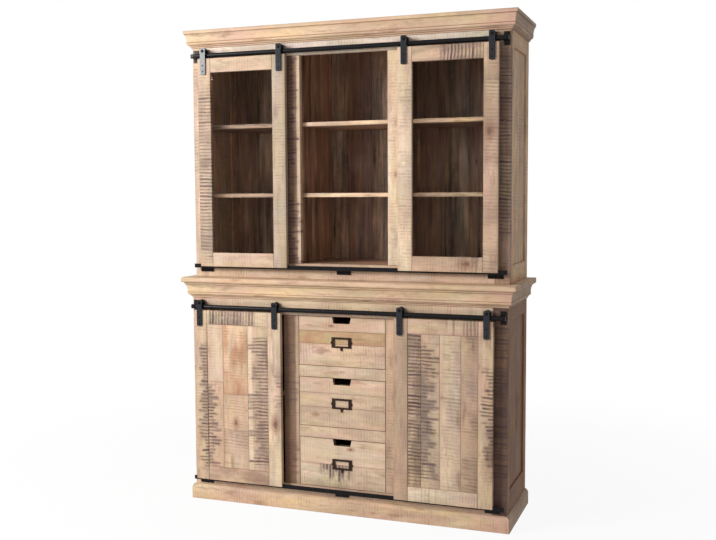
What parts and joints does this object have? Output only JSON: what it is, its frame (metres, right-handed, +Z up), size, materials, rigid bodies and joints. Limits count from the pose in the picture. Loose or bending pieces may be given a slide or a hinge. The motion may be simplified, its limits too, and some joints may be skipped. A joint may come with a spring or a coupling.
{
  "type": "buffet cabinet",
  "caption": "Tall rough-sawn wood buffet cabinet with doors that slide on black face-mounted rails, glazed above and boarded below, with open shelves over drawers in the middle.",
  "frame": {"origin": "on the floor, at the middle of the whole cabinet's width and depth", "axes": "+Z up, the front with its doors and drawers faces -Y, +X to the right of a person who looks at the front"},
  "size_m": [1.512, 0.454, 2.1],
  "materials": {
    "black_iron": "matte black powder coat",
    "case_wood": "rough sawn, clear satin lacquer",
    "clear_glass": "clear float glass",
    "door_wood": "rough sawn, clear satin lacquer",
    "drawer_wood": "rough sawn, clear satin lacquer",
    "inner_wood": "planed, dark satin lacquer",
    "moulding_wood": "rough sawn, clear satin lacquer"
  },
  "bodies": {
    "case": {"cornice": "moulding_wood", "drawer_runners": "inner_wood", "lower_back_boards": "inner_wood", "lower_bottom_board": "inner_wood", "lower_face_frame": "case_wood", "lower_guide_bar": "black_iron", "lower_left_side": "case_wood", "lower_partitions": "inner_wood", "lower_rail": "black_iron", "lower_right_side": "case_wood", "lower_shelves": "inner_wood", "plinth": "moulding_wood", "rail_brackets": "black_iron", "rail_end_bolts": "black_iron", "upper_back_boards": "inner_wood", "upper_bottom_board": "inner_wood", "upper_face_frame": "case_wood", "upper_guide_bar": "black_iron", "upper_left_side": "case_wood", "upper_partitions": "inner_wood", "upper_rail": "black_iron", "upper_right_side": "case_wood", "upper_shelves": "inner_wood", "upper_top_board": "inner_wood", "waist_moulding": "moulding_wood", "waist_slab": "moulding_wood"},
    "upper_left_door": {"upper_left_door_axle_bolts": "black_iron", "upper_left_door_frame": "door_wood", "upper_left_door_glass": "clear_glass", "upper_left_door_straps": "black_iron"},
    "upper_left_door_left_roller": {"upper_left_door_left_roller": "black_iron"},
    "upper_left_door_right_roller": {"upper_left_door_right_roller": "black_iron"},
    "upper_right_door": {"upper_right_door_axle_bolts": "black_iron", "upper_right_door_frame": "door_wood", "upper_right_door_glass": "clear_glass", "upper_right_door_straps": "black_iron"},
    "upper_right_door_left_roller": {"upper_right_door_left_roller": "black_iron"},
    "upper_right_door_right_roller": {"upper_right_door_right_roller": "black_iron"},
    "lower_left_door": {"lower_left_door_axle_bolts": "black_iron", "lower_left_door_boards": "door_wood", "lower_left_door_frame": "door_wood", "lower_left_door_straps": "black_iron"},
    "lower_left_door_left_roller": {"lower_left_door_left_roller": "black_iron"},
    "lower_left_door_right_roller": {"lower_left_door_right_roller": "black_iron"},
    "lower_right_door": {"lower_right_door_axle_bolts": "black_iron", "lower_right_door_boards": "door_wood", "lower_right_door_frame": "door_wood", "lower_right_door_straps": "black_iron"},
    "lower_right_door_left_roller": {"lower_right_door_left_roller": "black_iron"},
    "lower_right_door_right_roller": {"lower_right_door_right_roller": "black_iron"},
    "bottom_drawer": {"bottom_drawer_box": "inner_wood", "bottom_drawer_front": "drawer_wood", "bottom_drawer_label_holder": "black_iron"},
    "middle_drawer": {"middle_drawer_box": "inner_wood", "middle_drawer_front": "drawer_wood", "middle_drawer_label_holder": "black_iron"},
    "top_drawer": {"top_drawer_box": "inner_wood", "top_drawer_front": "drawer_wood", "top_drawer_label_holder": "black_iron"}
  },
  "joints": [
    {"name": "upper_left_door_slide", "type": "slide", "parent": "case", "child": "upper_left_door", "axis": [1, 0, 0], "range_m": [-0.034, 0.501]},
    {"name": "upper_left_door_left_roller_spin", "type": "hinge", "parent": "upper_left_door", "child": "upper_left_door_left_roller", "pos_m": [-0.6445, -0.1697, 2.00581], "axis": [0, 1, 0], "continuous": true},
    {"name": "upper_left_door_right_roller_spin", "type": "hinge", "parent": "upper_left_door", "child": "upper_left_door_right_roller", "pos_m": [-0.2795, -0.1697, 2.00581], "axis": [0, 1, 0], "continuous": true},
    {"name": "upper_right_door_slide", "type": "slide", "parent": "case", "child": "upper_right_door", "axis": [1, 0, 0], "range_m": [-0.501, 0.034]},
    {"name": "upper_right_door_left_roller_spin", "type": "hinge", "parent": "upper_right_door", "child": "upper_right_door_left_roller", "pos_m": [0.2795, -0.1697, 2.00581], "axis": [0, 1, 0], "continuous": true},
    {"name": "upper_right_door_right_roller_spin", "type": "hinge", "parent": "upper_right_door", "child": "upper_right_door_right_roller", "pos_m": [0.6445, -0.1697, 2.00581], "axis": [0, 1, 0], "continuous": true},
    {"name": "lower_left_door_slide", "type": "slide", "parent": "case", "child": "lower_left_door", "axis": [-1, 0, 0], "range_m": [-0.269, 0.015]},
    {"name": "lower_left_door_left_roller_spin", "type": "hinge", "parent": "lower_left_door", "child": "lower_left_door_left_roller", "pos_m": [-0.6635, -0.2037, 0.89781], "axis": [0, 1, 0], "continuous": true},
    {"name": "lower_left_door_right_roller_spin", "type": "hinge", "parent": "lower_left_door", "child": "lower_left_door_right_roller", "pos_m": [-0.2985, -0.2037, 0.89781], "axis": [0, 1, 0], "continuous": true},
    {"name": "lower_right_door_slide", "type": "slide", "parent": "case", "child": "lower_right_door", "axis": [1, 0, 0], "range_m": [-0.241, 0.043]},
    {"name": "lower_right_door_left_roller_spin", "type": "hinge", "parent": "lower_right_door", "child": "lower_right_door_left_roller", "pos_m": [0.2705, -0.2037, 0.89781], "axis": [0, 1, 0], "continuous": true},
    {"name": "lower_right_door_right_roller_spin", "type": "hinge", "parent": "lower_right_door", "child": "lower_right_door_right_roller", "pos_m": [0.6355, -0.2037, 0.89781], "axis": [0, 1, 0], "continuous": true},
    {"name": "bottom_drawer_slide", "type": "slide", "parent": "case", "child": "bottom_drawer", "axis": [0, -1, 0], "range_m": [0, 0.26]},
    {"name": "middle_drawer_slide", "type": "slide", "parent": "case", "child": "middle_drawer", "axis": [0, -1, 0], "range_m": [0, 0.26]},
    {"name": "top_drawer_slide", "type": "slide", "parent": "case", "child": "top_drawer", "axis": [0, -1, 0], "range_m": [0, 0.26]}
  ],
  "couplings": [
    {"joint": "upper_left_door_left_roller_spin", "follows": "upper_left_door_slide", "rad_per_m": 105.98},
    {"joint": "upper_left_door_right_roller_spin", "follows": "upper_left_door_slide", "rad_per_m": 105.98},
    {"joint": "upper_right_door_left_roller_spin", "follows": "upper_right_door_slide", "rad_per_m": 105.98},
    {"joint": "upper_right_door_right_roller_spin", "follows": "upper_right_door_slide", "rad_per_m": 105.98},
    {"joint": "lower_left_door_left_roller_spin", "follows": "lower_left_door_slide", "rad_per_m": -105.98},
    {"joint": "lower_left_door_right_roller_spin", "follows": "lower_left_door_slide", "rad_per_m": -105.98},
    {"joint": "lower_right_door_left_roller_spin", "follows": "lower_right_door_slide", "rad_per_m": 105.98},
    {"joint": "lower_right_door_right_roller_spin", "follows": "lower_right_door_slide", "rad_per_m": 105.98}
  ]
}
